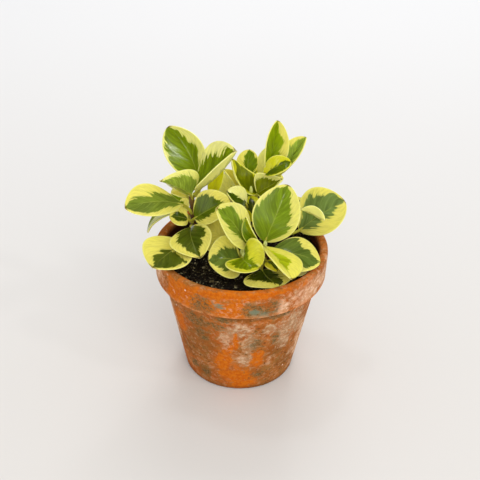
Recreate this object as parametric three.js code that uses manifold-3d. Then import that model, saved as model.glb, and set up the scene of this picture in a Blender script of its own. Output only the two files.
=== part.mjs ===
// A variegated baby rubber plant in a weathered clay pot.
// Millimetres, +Z up. The origin is the centre of the pot's underside, and -Y is the front.
// Pieces: the pot, the soil, and one leafy stem for each shoot, standing in a plain hole in the soil.

import * as THREE from "three";
import { mergeVertices } from "three/addons/utils/BufferGeometryUtils.js";
import Module from "manifold-3d";

const wasm = await Module();
wasm.setup();

// Driving dimensions of the pot
const POT_HEIGHT = 114;
const RIM_RADIUS = 70;
const BAND_HEIGHT = 24;
const BAND_FOOT_RADIUS = 69;
const NECK_RADIUS = 63.6;
const FOOT_RADIUS = 46;
const WALL = 6.2;
const FLOOR = 9;
const DRAIN_RADIUS = 7;
const FOOT_ROUND = 2;
const NECK_ROUND = 1.2;
const BAND_ROUND = 1.8;
const LIP_ROUND = 2.8;
const ROUND_STEPS = 2;
const POT_SIDES = 48;

// Driving dimensions of the soil
const SOIL_TOP = 106;
const SOIL_GAP = 0.6;
const SOIL_SIDES = 36;
const SOIL_RINGS = 7;
const SOIL_RELIEF = 1.1;
const HOLE_GAP = 0.6;
const HOLE_RUN = 2;

// Driving dimensions of the plant
const LEAF_THICKNESS = 1.5;
const MARGIN_THICKNESS = 0.8;
const LEAF_FULLNESS = 0.62;
const LEAF_BASE_HALF_WIDTH = 1.2;
const LEAF_RINGS = 8;
const LEAF_COLUMNS = 4;
const PETIOLE_RADIUS = 1.35;
const PETIOLE_RUN = 4;
const PETIOLE_END = 0.14;
const PETIOLE_SINK = 0.5;
const PETIOLE_STEPS = 3;
const PETIOLE_SIDES = 5;
const STEM_STEPS = 5;
const STEM_SIDES = 7;
const BUD_HEIGHT = 9;
const BUD_RISE = 2;
const BUD_BREADTH = 0.9;
const BUD_DEPTH = 0.7;
const BUD_SIDES = 6;
const BUD_RINGS = 4;

// The shape of a leaf where its own line gives no other
const LEAF_SHAPE = { bow: 3, fold: [8, 8], curl: 10, wide: 0.55, lean: 0 };

// Materials
const clay = new THREE.MeshStandardMaterial({ color: 0xb8683f, roughness: 0.9, metalness: 0 });
const earth = new THREE.MeshStandardMaterial({ color: 0x2b221c, roughness: 1, metalness: 0 });
const foliage = new THREE.MeshStandardMaterial({ color: 0x7f9a35, roughness: 0.4, metalness: 0 });

// Each shoot has the points of its stem, from the root up, and its leaves.
// A leaf has joint, how far up the stem it springs from, then the two ends of its midrib, the way
// its upper face looks, its width, and its shape:
//   bow    how far the midrib arches towards the upper face
//   fold   how steeply its left and right halves rise, in degrees, seen from base to tip
//   curl   how much steeper they are at the margin
//   wide   where along the blade it is widest
//   lean   how far the middle of the blade bends to its left
const SHOOTS = {
  shoot_left: {
    radius: 2.3,
    stem: [[-36, 8, 92], [-38, 9, 112], [-39, 9.5, 132], [-40, 10, 151]],
    leaves: [
      { joint: 0.98, base: [-34.5, 26.5, 148.6], tip: [-59.9, 45.7, 194.4], up: [-0.31, -0.86, 0.4],
        width: 39.4, fold: [33, 17.9], curl: 11.7, bow: -0.8, wide: 0.59, lean: -5.4 },
      { joint: 0.93, base: [-36.7, 12.5, 154.9], tip: [-5.1, 5.7, 193.7], up: [-0.7, -0.21, 0.75],
        width: 54.9, fold: [32.5, 50.1], curl: -10.8, bow: -1.9, lean: -2.6 },
      { joint: 0.8, base: [-25, 18, 145], tip: [-16, 22, 172], up: [-0.2, -0.8, 0.5], width: 12 },
      { joint: 0.9, base: [-41, 7.1, 154], tip: [-61.6, -9.6, 174.8], up: [0.8, 0.46, -0.95], width: 34.4,
        fold: [-15.6, -35.7], curl: -9.7, bow: -1, wide: 0.3, lean: -2.2 },
      { joint: 0.72, base: [-46.7, 2, 147.8], tip: [-87.4, -27, 160.7], up: [0, -0.55, 0.8], width: 33,
        fold: [10, -5], wide: 0.6, lean: -2 },
      { joint: 0.62, base: [-37, 3, 135], tip: [-9, -3, 156], up: [-0.1, -0.7, 0.6], width: 31,
        fold: [12, 25] },
      { joint: 0.58, base: [-43, 5, 132], tip: [-57, -1, 138], up: [0, -0.6, 0.8], width: 18 },
      { joint: 0.6, base: [-50, 14, 134], tip: [-76, 9, 117], up: [-0.5, 0, 0.7], width: 16,
        bow: 5 },
      { joint: 0.8, base: [-44, 16, 147], tip: [-56, 20, 151], up: [0, -0.3, 0.9], width: 17 },
      { joint: 0.5, base: [-40, 2, 128], tip: [-31, -34, 122], up: [0, -0.3, 0.9], width: 38,
        fold: [35, 5], wide: 0.66, lean: -3 },
      { joint: 0.34, base: [-41, -6, 118], tip: [-67, -44, 119], up: [-0.1, -0.3, 0.9], width: 42,
        fold: [-4, 6], wide: 0.64 },
      { joint: 0.5, base: [-46, 22, 128], tip: [-66, 50, 126], up: [-0.2, 0.2, 0.95], width: 30,
        bow: 4 },
    ],
  },
  shoot_back: {
    radius: 2.3,
    stem: [[12, 24, 92], [12, 25, 112], [12.5, 26, 132], [13, 27, 150]],
    leaves: [
      { joint: 0.97, base: [21, 30, 158], tip: [27, 44, 202], up: [-0.3, -0.8, 0.3], width: 29,
        fold: [80, 5], curl: 5 },
      { joint: 0.9, base: [31, 34, 160], tip: [50, 44, 188], up: [0.2, -0.8, 0.5], width: 24,
        fold: [5, 80], curl: 5 },
      { joint: 0.99, base: [17, 23, 165], tip: [38, 22, 177], up: [0, -0.6, 0.7], width: 18,
        fold: [20, 20] },
      { joint: 0.9, base: [4, 36, 156], tip: [5, 44, 176], up: [-0.1, -0.8, 0.5], width: 19,
        fold: [10, 10] },
      { joint: 0.95, base: [11.5, 24.3, 146.5], tip: [-8.8, 26.5, 176.3], up: [0.58, -0.35, 0.63],
        width: 30, fold: [27.3, 57], curl: 8, bow: -4.1, wide: 0.3, lean: 4.2 },
      { joint: 0.86, base: [12.2, 18.6, 149.5], tip: [31.4, 17.9, 163.6], up: [0.07, -0.56, 0.8],
        width: 30.2, fold: [23.4, 27.8], curl: 23.3, bow: -2.2, wide: 0.3, lean: 1.2 },
      { joint: 0.85, base: [15, 38, 154], tip: [21, 44, 179], up: [0, -0.8, 0.6], width: 14 },
      { joint: 0.8, base: [10, 40, 148], tip: [1, 62, 160], up: [-0.2, 0.5, 0.9], width: 22 },
      { joint: 0.7, base: [21, 36, 143], tip: [25, 59, 147], up: [0.3, 0.5, 0.9], width: 20 },
    ],
  },
  shoot_middle: {
    radius: 2,
    stem: [[-4, 10, 92], [-3, 10, 112], [-1, 11, 128], [1, 12, 140]],
    leaves: [
      { joint: 0.97, base: [3, 7, 146.3], tip: [-12, 1, 161.3], up: [0.1, -0.6, 0.8], width: 17 },
      { joint: 0.6, base: [11.2, 15.4, 124.8], tip: [6.6, 17.6, 148.6], up: [0, -0.9, 0.5], width: 18,
        fold: [0, 0], curl: 2 },
      { joint: 0.95, base: [-2, 28, 144], tip: [-15, 28, 166], up: [0.6, -0.4, 0.7], width: 16,
        fold: [40, 40], bow: -1 },
      { joint: 0.7, base: [-8, 33, 134], tip: [-15, 38, 157], up: [0, -0.8, 0.6], width: 18 },
    ],
  },
  shoot_front: {
    radius: 2.2,
    stem: [[3, -20, 92], [2.5, -20, 104], [2, -20.5, 112], [1.5, -21, 117]],
    leaves: [
      { joint: 0.9, base: [5, -17, 122], tip: [-19, -28, 163], up: [0.4, -0.6, 0.6], width: 33,
        fold: [14, -5], lean: -1 },
      { joint: 0.76, base: [-1, -22, 113], tip: [-25, -36, 121], up: [0, -0.7, 0.75], width: 36,
        bow: 4 },
      { joint: 0.84, base: [2.1, -27.5, 118.6], tip: [14.7, -40.5, 118.5], up: [-0.29, -0.4, 0.83],
        width: 41.7, fold: [15.9, 25.3], curl: 20.1, bow: 3.5, wide: 0.51, lean: -3.5 },
      { joint: 0.72, base: [-5, -13, 119], tip: [-29, -4, 133], up: [0, -0.7, 0.7], width: 34 },
    ],
  },
  shoot_right: {
    radius: 2.2,
    stem: [[36, 10, 92], [37, 11, 112], [39, 12, 128], [41, 12, 138]],
    leaves: [
      { joint: 0.55, base: [47.8, 24, 112], tip: [84.3, 32, 136.7], up: [-0.1, -0.45, 0.9], width: 47 },
      { joint: 0.96, base: [47, 5, 144], tip: [65, -4, 140], up: [0.2, 0.85, 0.5], width: 16,
        bow: 1 },
      { joint: 0.6, base: [43, 34, 120], tip: [57, 56, 122], up: [0.1, 0.3, 0.9], width: 26 },
      { joint: 0.8, base: [37.5, 25, 126], tip: [35, 49, 131], up: [0, 0.2, 0.9], width: 20 },
    ],
  },
  shoot_right_front: {
    radius: 2.2,
    stem: [[20, -19, 92], [19.5, -19, 104], [19, -19, 114], [18, -18, 122]],
    leaves: [
      { joint: 0.98, base: [18.5, -14, 125], tip: [35, -3, 170], up: [0, -0.85, 0.5], width: 38.5,
        wide: 0.52 },
      { joint: 0.9, base: [16.4, -16.6, 122.9], tip: [3, -22.4, 151.8], up: [-0.6, -0.5, 0.5], width: 14,
        fold: [60, 10] },
      { joint: 0.85, base: [22.7, -21.2, 119.8], tip: [61.2, -30.1, 116.8], up: [0.09, -0.45, 0.88],
        width: 32.7, fold: [-4.6, 3.4], curl: 2.4, bow: 4.7, wide: 0.52, lean: 0.3 },
      { joint: 0.92, base: [17, -28.3, 129.9], tip: [38.3, -55.6, 118.7], up: [0.54, -0.25, 0.77],
        width: 38.2, fold: [11.5, 28.7], curl: -2.6, bow: 2.8, wide: 0.64, lean: -1.2 },
      { joint: 0.6, base: [16.4, -30, 108.9], tip: [29, -54.5, 110.5], up: [-0.07, -0.06, 0.99],
        width: 41.7, fold: [-4, 8.6], curl: 1.5, bow: 0.3, wide: 0.49, lean: -1.4 },
      { joint: 0.62, base: [37, -30, 111.5], tip: [53.6, -30, 112.6], up: [0.05, -0.3, 0.93], width: 17,
        fold: [0, -3], curl: 4, bow: 0, wide: 0.5 },
      { joint: 0.7, base: [20, -31, 117], tip: [28, -40, 115], up: [0, -0.2, 0.9], width: 14 },
    ],
  },
  shoot_rear: {
    radius: 2.2,
    stem: [[-10, 38, 92], [-9, 39, 110], [-8, 40, 122], [-7, 40, 132]],
    leaves: [
      { joint: 0.8, base: [-16, 44, 124], tip: [-31, 66, 122], up: [-0.2, 0.3, 0.9], width: 30 },
      { joint: 0.98, base: [-6, 47, 133], tip: [-4, 68, 138], up: [0, -0.3, 0.9], width: 26 },
      { joint: 0.9, base: [1, 46, 128], tip: [23, 66, 132], up: [0.1, 0.1, 0.9], width: 28 },
      { joint: 0.7, base: [0, 38, 121], tip: [27, 45, 120], up: [0.1, 0.1, 1], width: 24 },
    ],
  },
};

const WELD = 1e-4;

const vec = (p) => new THREE.Vector3(p[0], p[1], p[2]);
const radians = THREE.MathUtils.degToRad;

// A closed shape as a solid, and a solid as a mesh
function solid(geometry) {
  const bare = geometry.clone();
  bare.deleteAttribute("normal");
  bare.deleteAttribute("uv");
  const merged = mergeVertices(bare, WELD);
  return new wasm.Manifold(new wasm.Mesh({
    numProp: 3,
    vertProperties: new Float32Array(merged.getAttribute("position").array),
    triVerts: new Uint32Array(merged.getIndex().array),
  }));
}

function geometryOf(manifold) {
  const mesh = manifold.getMesh();
  const geometry = new THREE.BufferGeometry();
  geometry.setAttribute("position", new THREE.BufferAttribute(mesh.vertProperties, 3));
  geometry.setIndex(new THREE.BufferAttribute(mesh.triVerts, 1));
  return geometry;
}

// A round tube along a curve
function tube(curve, radius, steps, sides) {
  const section = new THREE.Shape();
  for (let i = 0; i < sides; i += 1) {
    const angle = (2 * Math.PI * i) / sides;
    const x = radius * Math.cos(angle);
    const y = radius * Math.sin(angle);
    if (i === 0) {
      section.moveTo(x, y);
    } else {
      section.lineTo(x, y);
    }
  }
  section.closePath();
  return new THREE.ExtrudeGeometry(section, { steps, extrudePath: curve });
}

// The three directions of a blade: along, left and up
function bladeAxes(leaf) {
  const along = vec(leaf.tip).sub(vec(leaf.base)).normalize();
  const up = vec(leaf.up);
  up.addScaledVector(along, -up.dot(along)).normalize();
  const left = new THREE.Vector3().crossVectors(up, along);
  return { along, left, up };
}

// Half width of the blade, rounded at the base and full towards the tip
function halfWidth(leaf, s) {
  const shift = Math.log(0.5) / Math.log(leaf.wide);
  const full = (leaf.width / 2) * Math.sin(Math.PI * s ** shift) ** LEAF_FULLNESS;
  return Math.max(full, LEAF_BASE_HALF_WIDTH * (1 - s));
}

// A point of the middle surface: s runs from base to tip, t from the right margin to the left
function bladePoint(leaf, axes, s, t) {
  const length = vec(leaf.tip).distanceTo(vec(leaf.base));
  const arch = 4 * s * (1 - s);
  const slope = (4 * leaf.bow * (1 - 2 * s)) / length;
  const up = axes.up.clone().addScaledVector(axes.along, -slope).normalize();
  const reach = halfWidth(leaf, s) * Math.abs(t);
  const angle = radians(leaf.fold[t > 0 ? 0 : 1] + leaf.curl * Math.abs(t));
  return vec(leaf.base)
    .addScaledVector(axes.along, length * s)
    .addScaledVector(axes.up, leaf.bow * arch)
    .addScaledVector(axes.left, leaf.lean * arch + Math.sign(t) * reach * Math.cos(angle))
    .addScaledVector(up, reach * Math.sin(angle));
}

// The way the upper face looks at a point, taken a little inside the ends of the blade
function bladeNormal(leaf, axes, s, t) {
  const step = 0.02;
  const inset = 3 * step;
  const mid = Math.min(Math.max(s, inset), 1 - inset);
  const down = bladePoint(leaf, axes, mid - step, t);
  const far = bladePoint(leaf, axes, mid + step, t);
  const right = bladePoint(leaf, axes, mid, t - step);
  const left = bladePoint(leaf, axes, mid, t + step);
  return new THREE.Vector3().crossVectors(left.sub(right), far.sub(down)).normalize().negate();
}

// A blade is a ball drawn out flat: its rings run round the blade, from base to tip,
// over the upper face from right to left and back below
function blade(leaf) {
  const axes = bladeAxes(leaf);
  const around = 2 * LEAF_COLUMNS + 2;
  const geometry = new THREE.SphereGeometry(1, around, LEAF_RINGS);
  const place = geometry.getAttribute("position");
  const columns = around + 1;
  for (let i = 0; i < place.count; i += 1) {
    const ring = Math.floor(i / columns);
    const column = (i % columns) % around;
    const s = 0.5 - 0.5 * Math.cos((Math.PI * ring) / LEAF_RINGS);
    const upper = column <= LEAF_COLUMNS;
    const step = upper ? column : around - 1 - column;
    const t = (2 * step) / LEAF_COLUMNS - 1;
    const end = ring === 0 || ring === LEAF_RINGS;
    const half = (LEAF_THICKNESS + (MARGIN_THICKNESS - LEAF_THICKNESS) * t * t) / 2;
    const point = bladePoint(leaf, axes, s, end ? 0 : t);
    if (!end) {
      point.addScaledVector(bladeNormal(leaf, axes, s, t), upper ? half : -half);
    }
    place.setXYZ(i, point.x, point.y, point.z);
  }
  return solid(geometry);
}

// The petiole leaves the stem rising a little and runs on into the underside of the midrib
function petiole(leaf, stem) {
  const axes = bladeAxes(leaf);
  const start = stem.getPointAt(leaf.joint);
  const end = bladePoint(leaf, axes, PETIOLE_END, 0).addScaledVector(axes.up, -PETIOLE_SINK);
  const entry = bladePoint(leaf, axes, 0, 0).addScaledVector(axes.along, -PETIOLE_RUN);
  const curve = new THREE.CubicBezierCurve3(start, start.clone().lerp(entry, 0.5), entry, end);
  return solid(tube(curve, PETIOLE_RADIUS, PETIOLE_STEPS, PETIOLE_SIDES));
}

// The young tip of a shoot, a small folded bud, with its size in stem radii
function bud(stem, radius) {
  const geometry = new THREE.SphereGeometry(1, BUD_SIDES, BUD_RINGS);
  geometry.rotateX(Math.PI / 2);
  geometry.scale(BUD_BREADTH * radius, BUD_DEPTH * radius, BUD_HEIGHT / 2);
  const top = stem.getPointAt(1);
  geometry.translate(top.x, top.y, top.z + BUD_RISE);
  return solid(geometry);
}

function shoot(plan) {
  const stem = new THREE.CatmullRomCurve3(plan.stem.map(vec));
  const parts = [solid(tube(stem, plan.radius, STEM_STEPS, STEM_SIDES)), bud(stem, plan.radius)];
  for (const own of plan.leaves) {
    const leaf = { ...LEAF_SHAPE, ...own };
    parts.push(petiole(leaf, stem), blade(leaf));
  }
  return wasm.Manifold.union(parts);
}

// Radius of the plain cone inside the pot
function innerRadius(z) {
  const foot = FOOT_RADIUS - WALL;
  return foot + ((RIM_RADIUS - WALL - foot) * z) / POT_HEIGHT;
}

// Turns the rounded corners of an outline into short arcs
function rounded(corners) {
  const places = corners.map(([radius, z]) => new THREE.Vector2(radius, z));
  const points = [];
  corners.forEach(([, , rounding], i) => {
    const corner = places[i];
    if (!rounding) {
      points.push(corner);
      return;
    }
    const [start, end] = [places.at(i - 1), places[(i + 1) % places.length]].map((other) =>
      other.clone().sub(corner).setLength(rounding).add(corner),
    );
    points.push(...new THREE.QuadraticBezierCurve(start, corner, end).getPoints(ROUND_STEPS));
  });
  return points;
}

function pot() {
  const bandFoot = POT_HEIGHT - BAND_HEIGHT;
  const outline = rounded([
    [DRAIN_RADIUS, 0],
    [FOOT_RADIUS, 0, FOOT_ROUND],
    [NECK_RADIUS, bandFoot, NECK_ROUND],
    [BAND_FOOT_RADIUS, bandFoot, BAND_ROUND],
    [RIM_RADIUS, POT_HEIGHT, LIP_ROUND],
    [RIM_RADIUS - WALL, POT_HEIGHT, LIP_ROUND],
    [innerRadius(FLOOR), FLOOR],
    [DRAIN_RADIUS, FLOOR],
  ]);
  outline.push(outline[0]);
  const geometry = new THREE.LatheGeometry(outline, POT_SIDES);
  geometry.rotateX(Math.PI / 2);
  return solid(geometry);
}

// Height of the soil's crumbly top above its mean level
function relief(x, y) {
  const coarse = Math.sin(0.31 * x + 0.4) * Math.cos(0.27 * y - 0.8);
  const fine = Math.sin(0.83 * x - 0.5 * y) * Math.cos(0.71 * y + 0.36 * x);
  return SOIL_RELIEF * (0.5 * coarse + 0.5 * fine);
}

function soil(shoots) {
  const bottom = FLOOR + SOIL_GAP;
  const foot = innerRadius(bottom) - SOIL_GAP;
  const edge = innerRadius(SOIL_TOP) - SOIL_GAP;
  const outline = [new THREE.Vector2(0, bottom), new THREE.Vector2(foot, bottom)];
  for (let ring = SOIL_RINGS; ring >= 0; ring -= 1) {
    outline.push(new THREE.Vector2((edge * ring) / SOIL_RINGS, SOIL_TOP));
  }
  const geometry = new THREE.LatheGeometry(outline, SOIL_SIDES);
  geometry.rotateX(Math.PI / 2);
  const place = geometry.getAttribute("position");
  for (let i = 0; i < place.count; i += 1) {
    if (place.getZ(i) > bottom + 1) {
      place.setZ(i, SOIL_TOP + relief(place.getX(i), place.getY(i)));
    }
  }
  let body = solid(geometry);
  for (const plan of Object.values(shoots)) {
    const [root, collar] = plan.stem.map(vec);
    const rise = collar.sub(root);
    const floor = root.clone().addScaledVector(rise, -HOLE_GAP / rise.length());
    const path = new THREE.LineCurve3(floor, root.clone().addScaledVector(rise, HOLE_RUN));
    body = body.subtract(solid(tube(path, plan.radius + HOLE_GAP, 1, STEM_SIDES)));
  }
  return body;
}

const plant = new THREE.Group();

function add(name, manifold, material) {
  const mesh = new THREE.Mesh(geometryOf(manifold), material);
  mesh.name = name;
  plant.add(mesh);
}

add("pot", pot(), clay);
add("soil", soil(SHOOTS), earth);
for (const [name, plan] of Object.entries(SHOOTS)) {
  add(name, shoot(plan), foliage);
}

export default plant;
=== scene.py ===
"""Looks of the potted baby rubber plant: leaves, stems, clay pot and soil in the solids' place."""
import math
from collections import namedtuple

import bmesh
import bpy
import numpy as np
from mathutils import Matrix, Vector, noise


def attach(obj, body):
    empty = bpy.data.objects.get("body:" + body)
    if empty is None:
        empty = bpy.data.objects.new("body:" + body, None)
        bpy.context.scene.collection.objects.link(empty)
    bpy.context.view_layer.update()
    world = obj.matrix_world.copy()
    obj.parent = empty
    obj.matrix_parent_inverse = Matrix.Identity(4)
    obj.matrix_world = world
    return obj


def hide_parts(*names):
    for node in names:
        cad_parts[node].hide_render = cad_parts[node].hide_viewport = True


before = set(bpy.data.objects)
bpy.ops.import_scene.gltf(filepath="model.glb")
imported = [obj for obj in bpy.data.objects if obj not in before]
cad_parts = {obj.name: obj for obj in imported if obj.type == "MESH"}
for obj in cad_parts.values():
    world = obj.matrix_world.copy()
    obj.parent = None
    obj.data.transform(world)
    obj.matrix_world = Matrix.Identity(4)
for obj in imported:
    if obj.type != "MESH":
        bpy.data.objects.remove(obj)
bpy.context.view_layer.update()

MM = 0.001

# Pot and soil, in mm
POT_HEIGHT = 114
RIM_RADIUS = 70
BAND_HEIGHT = 24
BAND_FOOT_RADIUS = 69
NECK_RADIUS = 63.6
FOOT_RADIUS = 46
WALL = 6.2
FLOOR = 9
DRAIN_RADIUS = 7
FOOT_ROUND = 2
NECK_ROUND = 1.2
BAND_ROUND = 1.8
LIP_ROUND = 2.8
FLOOR_ROUND = 2
DRAIN_ROUND = 0.8
ROUND_STEPS = 7
OUTLINE_STEP = 2.5
POT_SIDES = 240
CLAY_SINK = 0.2
SOIL_TOP = 106
SOIL_GAP = 0.6
SOIL_SIDES = 150
SOIL_RINGS = 70
SOIL_SIDE_RINGS = 8
SOIL_SIDE_DROP = 2

# Leaves, in mm
LEAF_THICKNESS = 1.5
MARGIN_THICKNESS = 0.8
LEAF_FULLNESS = 0.62
LEAF_BASE_HALF_WIDTH = 1.2
EDGE_ROUND = 0.45
WAVE = 0.28
EDGE_WAVE = 0.35
GROOVE_DEPTH, GROOVE_REACH = 0.34, 0.8
RIDGE_HEIGHT, RIDGE_REACH = 0.45, 0.9
PLEAT_HEIGHT, PLEAT_COUNT = 0.07, 6.5

# Leaves, as shares of their length or half width
EDGE_SHARE = 0.7
EDGE_STEPS = np.array([0.45, 0.8, 1.0])
VEIN_LEAN = 0.5
NORMAL_STEP = 0.02
RINGS = 44
ACROSS = 26
ACROSS_CROWDING = 1.1

# Stems, leaf stalks and buds, in mm
STEM_STEPS = 60
STEM_FULLNESS = 0.94
STEM_TAPER = 0.12
JOINT_SWELL, JOINT_REACH = 0.132, 0.03
STEM_WOBBLE = 0.05
PETIOLE_RADIUS = 1.35
PETIOLE_RUN = 4
PETIOLE_END = 0.14
PETIOLE_SINK = 0.5
PETIOLE_STEPS = 22
BUD_HEIGHT = 9
BUD_RISE = 2
BUD_STEPS = 14
BUD_FULLNESS = 0.62
BUD_TURNS = (0.0, 2.2)
SPROUT_RADIUS = 1.3
SPROUT_STALK_RADIUS = 0.7
STEM_KIND, STALK_KIND, BUD_KIND = 0.0, 1.0, 2.0

# A shoot is the radius and the points of its stem, and its leaves. A leaf is how far up the stem it
# springs from, both ends of its midrib, the way its face looks, its width, the fold of its left
# and right half and their curl in degrees, its bow in mm, its widest place, and its sideways lean
Shoot = namedtuple("Shoot", "radius points leaves")
Leaf = namedtuple("Leaf", "joint base tip up width fold curl bow wide lean",
                  defaults=((8, 8), 10, 3, 0.55, 0))
SHOOTS = {
    "shoot_left": Shoot(2.3, ((-36, 8, 92), (-38, 9, 112), (-39, 9.5, 132), (-40, 10, 151)), (
        Leaf(0.98, (-34.5, 26.5, 148.6), (-59.9, 45.7, 194.4), (-0.31, -0.86, 0.4), 39.4,
             fold=(33, 17.9), curl=11.7, bow=-0.8, wide=0.59, lean=-5.4),
        Leaf(0.93, (-36.7, 12.5, 154.9), (-5.1, 5.7, 193.7), (-0.7, -0.21, 0.75), 54.9,
             fold=(32.5, 50.1), curl=-10.8, bow=-1.9, lean=-2.6),
        Leaf(0.8, (-25, 18, 145), (-16, 22, 172), (-0.2, -0.8, 0.5), 12),
        Leaf(0.9, (-41, 7.1, 154), (-61.6, -9.6, 174.8), (0.8, 0.46, -0.95), 34.4,
             fold=(-15.6, -35.7), curl=-9.7, bow=-1, wide=0.3, lean=-2.2),
        Leaf(0.72, (-46.7, 2, 147.8), (-87.4, -27, 160.7), (0, -0.55, 0.8), 33,
             fold=(10, -5), wide=0.6, lean=-2),
        Leaf(0.62, (-37, 3, 135), (-9, -3, 156), (-0.1, -0.7, 0.6), 31, fold=(12, 25)),
        Leaf(0.58, (-43, 5, 132), (-57, -1, 138), (0, -0.6, 0.8), 18),
        Leaf(0.6, (-50, 14, 134), (-76, 9, 117), (-0.5, 0, 0.7), 16, bow=5),
        Leaf(0.8, (-44, 16, 147), (-56, 20, 151), (0, -0.3, 0.9), 17),
        Leaf(0.5, (-40, 2, 128), (-31, -34, 122), (0, -0.3, 0.9), 38,
             fold=(35, 5), wide=0.66, lean=-3),
        Leaf(0.34, (-41, -6, 118), (-67, -44, 119), (-0.1, -0.3, 0.9), 42, fold=(-4, 6), wide=0.64),
        Leaf(0.5, (-46, 22, 128), (-66, 50, 126), (-0.2, 0.2, 0.95), 30, bow=4),
    )),
    "shoot_back": Shoot(2.3, ((12, 24, 92), (12, 25, 112), (12.5, 26, 132), (13, 27, 150)), (
        Leaf(0.97, (21, 30, 158), (27, 44, 202), (-0.3, -0.8, 0.3), 29, fold=(80, 5), curl=5),
        Leaf(0.9, (31, 34, 160), (50, 44, 188), (0.2, -0.8, 0.5), 24, fold=(5, 80), curl=5),
        Leaf(0.99, (17, 23, 165), (38, 22, 177), (0, -0.6, 0.7), 18, fold=(20, 20)),
        Leaf(0.9, (4, 36, 156), (5, 44, 176), (-0.1, -0.8, 0.5), 19, fold=(10, 10)),
        Leaf(0.95, (11.5, 24.3, 146.5), (-8.8, 26.5, 176.3), (0.58, -0.35, 0.63), 30,
             fold=(27.3, 57), curl=8, bow=-4.1, wide=0.3, lean=4.2),
        Leaf(0.86, (12.2, 18.6, 149.5), (31.4, 17.9, 163.6), (0.07, -0.56, 0.8), 30.2,
             fold=(23.4, 27.8), curl=23.3, bow=-2.2, wide=0.3, lean=1.2),
        Leaf(0.85, (15, 38, 154), (21, 44, 179), (0, -0.8, 0.6), 14),
        Leaf(0.8, (10, 40, 148), (1, 62, 160), (-0.2, 0.5, 0.9), 22),
        Leaf(0.7, (21, 36, 143), (25, 59, 147), (0.3, 0.5, 0.9), 20),
    )),
    "shoot_middle": Shoot(2, ((-4, 10, 92), (-3, 10, 112), (-1, 11, 128), (1, 12, 140)), (
        Leaf(0.97, (3, 7, 146.3), (-12, 1, 161.3), (0.1, -0.6, 0.8), 17),
        Leaf(0.6, (11.2, 15.4, 124.8), (6.6, 17.6, 148.6), (0, -0.9, 0.5), 18, fold=(0, 0), curl=2),
        Leaf(0.95, (-2, 28, 144), (-15, 28, 166), (0.6, -0.4, 0.7), 16, fold=(40, 40), bow=-1),
        Leaf(0.7, (-8, 33, 134), (-15, 38, 157), (0, -0.8, 0.6), 18),
    )),
    "shoot_front": Shoot(2.2, ((3, -20, 92), (2.5, -20, 104), (2, -20.5, 112), (1.5, -21, 117)), (
        Leaf(0.9, (5, -17, 122), (-19, -28, 163), (0.4, -0.6, 0.6), 33, fold=(14, -5), lean=-1),
        Leaf(0.76, (-1, -22, 113), (-25, -36, 121), (0, -0.7, 0.75), 36, bow=4),
        Leaf(0.84, (2.1, -27.5, 118.6), (14.7, -40.5, 118.5), (-0.29, -0.4, 0.83), 41.7,
             fold=(15.9, 25.3), curl=20.1, bow=3.5, wide=0.51, lean=-3.5),
        Leaf(0.72, (-5, -13, 119), (-29, -4, 133), (0, -0.7, 0.7), 34),
    )),
    "shoot_right": Shoot(2.2, ((36, 10, 92), (37, 11, 112), (39, 12, 128), (41, 12, 138)), (
        Leaf(0.55, (47.8, 24, 112), (84.3, 32, 136.7), (-0.1, -0.45, 0.9), 47),
        Leaf(0.96, (47, 5, 144), (65, -4, 140), (0.2, 0.85, 0.5), 16, bow=1),
        Leaf(0.6, (43, 34, 120), (57, 56, 122), (0.1, 0.3, 0.9), 26),
        Leaf(0.8, (37.5, 25, 126), (35, 49, 131), (0, 0.2, 0.9), 20),
    )),
    "shoot_right_front": Shoot(
        2.2, ((20, -19, 92), (19.5, -19, 104), (19, -19, 114), (18, -18, 122)), (
        Leaf(0.98, (18.5, -14, 125), (35, -3, 170), (0, -0.85, 0.5), 38.5, wide=0.52),
        Leaf(0.9, (16.4, -16.6, 122.9), (3, -22.4, 151.8), (-0.6, -0.5, 0.5), 14, fold=(60, 10)),
        Leaf(0.85, (22.7, -21.2, 119.8), (61.2, -30.1, 116.8), (0.09, -0.45, 0.88), 32.7,
             fold=(-4.6, 3.4), curl=2.4, bow=4.7, wide=0.52, lean=0.3),
        Leaf(0.92, (17, -28.3, 129.9), (38.3, -55.6, 118.7), (0.54, -0.25, 0.77), 38.2,
             fold=(11.5, 28.7), curl=-2.6, bow=2.8, wide=0.64, lean=-1.2),
        Leaf(0.6, (16.4, -30, 108.9), (29, -54.5, 110.5), (-0.07, -0.06, 0.99), 41.7,
             fold=(-4, 8.6), curl=1.5, bow=0.3, wide=0.49, lean=-1.4),
        Leaf(0.62, (37, -30, 111.5), (53.6, -30, 112.6), (0.05, -0.3, 0.93), 17,
             fold=(0, -3), curl=4, bow=0, wide=0.5),
        Leaf(0.7, (20, -31, 117), (28, -40, 115), (0, -0.2, 0.9), 14),
    )),
    "shoot_rear": Shoot(2.2, ((-10, 38, 92), (-9, 39, 110), (-8, 40, 122), (-7, 40, 132)), (
        Leaf(0.8, (-16, 44, 124), (-31, 66, 122), (-0.2, 0.3, 0.9), 30),
        Leaf(0.98, (-6, 47, 133), (-4, 68, 138), (0, -0.3, 0.9), 26),
        Leaf(0.9, (1, 46, 128), (23, 66, 132), (0.1, 0.1, 0.9), 28),
        Leaf(0.7, (0, 38, 121), (27, 45, 120), (0.1, 0.1, 1), 24),
    )),
}

# Small side buds: foot and point of each
SPROUTS = {
    "shoot_front": (((1.9, -26.6, 117.6), (1.9, -27.6, 123.4)),),
    "shoot_back": (((7.2, 17.8, 149), (6.8, 16.6, 157.5)),),
}

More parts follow.
